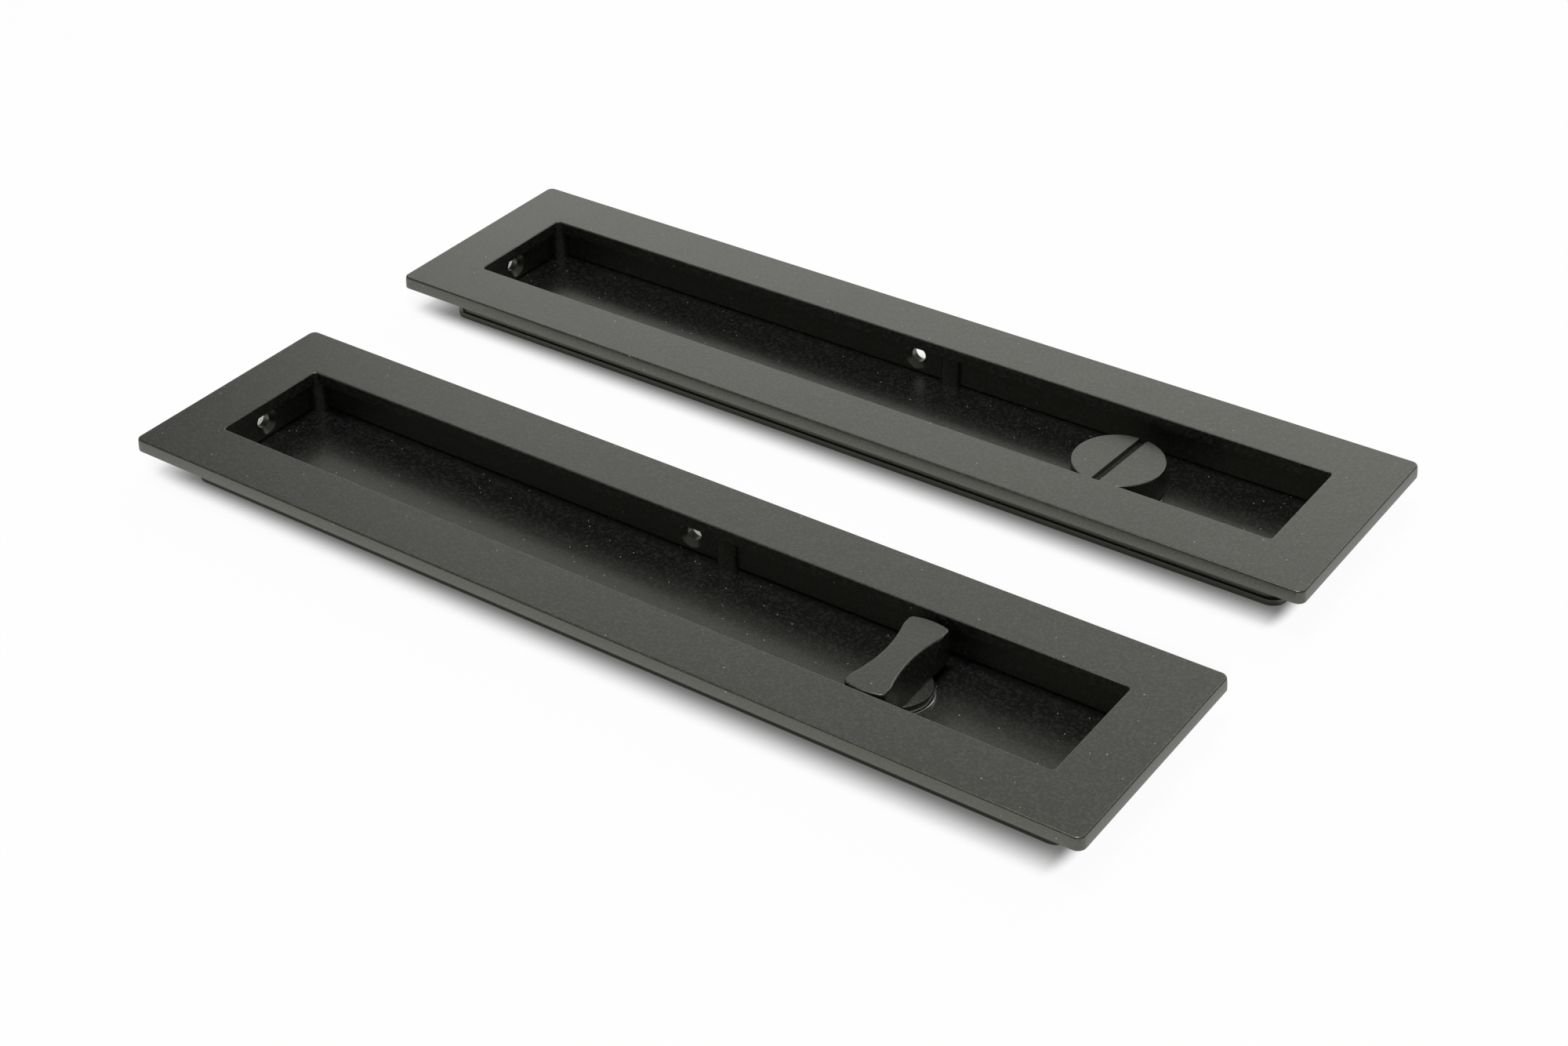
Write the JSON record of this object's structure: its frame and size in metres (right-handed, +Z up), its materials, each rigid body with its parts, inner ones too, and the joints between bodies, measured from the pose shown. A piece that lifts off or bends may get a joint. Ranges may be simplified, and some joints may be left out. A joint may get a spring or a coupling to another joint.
{
  "type": "flush pull privacy set",
  "caption": "Pair of recessed rectangular door pulls in matt black, one with a bow-tie thumbturn and one with a slotted coin release.",
  "frame": {"origin": "on the table, midway between the two pulls, at the bottom centre of the set's box", "axes": "+X along the pulls towards their turning ends, +Y from the thumbturn pull to the coin release pull, +Z up out of the faces"},
  "size_m": [0.254, 0.1524, 0.0128],
  "materials": {
    "painted_casting": "fine matt black powder coat",
    "painted_plate": "satin black powder coat",
    "painted_turn": "fine matt black powder coat",
    "dark_screws": "blackened steel",
    "bright_bush": "turned and polished steel",
    "glide_plastic": "natural",
    "spring_steel": "oiled"
  },
  "bodies": {
    "pulls": {"turn_housing": "painted_casting", "turn_back_plate": "painted_plate", "turn_plate_screws": "dark_screws", "turn_bush": "bright_bush", "turn_glide_washer": "glide_plastic", "release_housing": "painted_casting", "release_back_plate": "painted_plate", "release_plate_screws": "dark_screws", "release_bush": "bright_bush", "release_glide_washer": "glide_plastic"},
    "thumbturn": {"turn_thumbturn": "painted_turn", "turn_snap_ring": "spring_steel", "turn_spring_washer": "spring_steel"},
    "coin_disc": {"release_coin_disc": "painted_turn", "release_snap_ring": "spring_steel", "release_spring_washer": "spring_steel"}
  },
  "joints": [
    {"name": "thumbturn_turn", "type": "hinge", "parent": "pulls", "child": "thumbturn", "pos_m": [0.06665, -0.0462, 0], "axis": [0, 0, 1], "range_deg": [0, 90]},
    {"name": "coin_disc_turn", "type": "hinge", "parent": "pulls", "child": "coin_disc", "pos_m": [0.06665, 0.0462, 0], "axis": [0, 0, 1], "range_deg": [-90, 0]}
  ]
}
